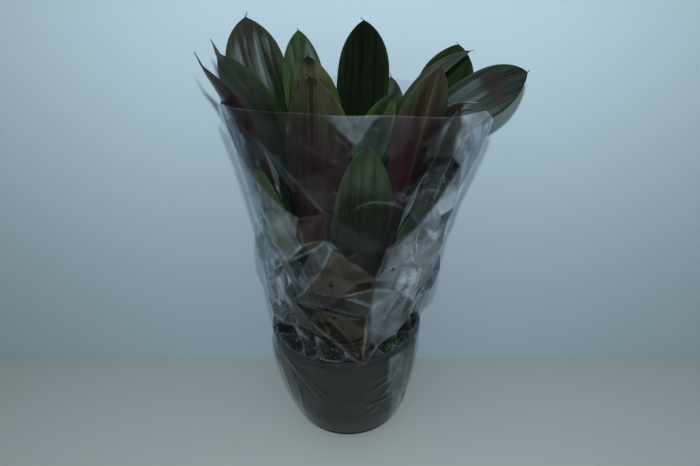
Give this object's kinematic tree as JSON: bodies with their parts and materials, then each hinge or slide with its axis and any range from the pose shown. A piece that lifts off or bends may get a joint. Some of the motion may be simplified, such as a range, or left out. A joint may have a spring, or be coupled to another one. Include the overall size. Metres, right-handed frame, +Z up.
{
  "type": "potted imperial bromeliad",
  "caption": "Young bromeliad with broad upright strap leaves in a black nursery pot, wrapped in a clear film sleeve that opens out round the leaves.",
  "frame": {"origin": "centre of the pot's underside, on the surface that the pot stands on", "axes": "+Z up; -Y towards the pictured side; +X to the right in the picture"},
  "size_m": [0.5069, 0.2744, 0.7351],
  "materials": {
    "pot_plastic": "smooth moulded black plastic, satin",
    "potting_mix": "damp peat with bark chips, rough",
    "stem_tissue": "pale fibrous leaf bases, matt",
    "leaf_green": "glossy thick leaf, dark green with pale lengthwise streaks",
    "leaf_bronze": "glossy thick leaf, maroon underside with olive streaks",
    "clear_film": "thin clear crumpled film, high gloss"
  },
  "bodies": {
    "root": {"pot": "pot_plastic", "potting_mix": "potting_mix", "stem": "stem_tissue", "leaf_heart_small": "leaf_green", "leaf_heart_left": "leaf_green", "leaf_heart_right": "leaf_green", "leaf_front_pale": "leaf_green", "leaf_centre_right": "leaf_green", "leaf_right_arching": "leaf_green", "leaf_back_left": "leaf_green", "leaf_back_tall": "leaf_green", "leaf_left_arching": "leaf_bronze", "leaf_back_middle": "leaf_green", "leaf_back_right_small": "leaf_green", "leaf_left_tall": "leaf_green", "leaf_front_left": "leaf_bronze", "leaf_right_curled": "leaf_bronze", "leaf_right_reaching": "leaf_green", "leaf_back_low_right": "leaf_green", "leaf_right_back": "leaf_green", "leaf_left_reaching": "leaf_bronze", "leaf_front_right": "leaf_bronze", "leaf_right_narrow": "leaf_bronze", "leaf_back_low_left": "leaf_green", "leaf_right_low": "leaf_green", "leaf_left_low": "leaf_green", "leaf_back_low": "leaf_green", "leaf_front_short": "leaf_green", "leaf_right_front_low": "leaf_green", "leaf_left_front_low": "leaf_green", "sleeve": "clear_film"}
  },
  "joints": []
}
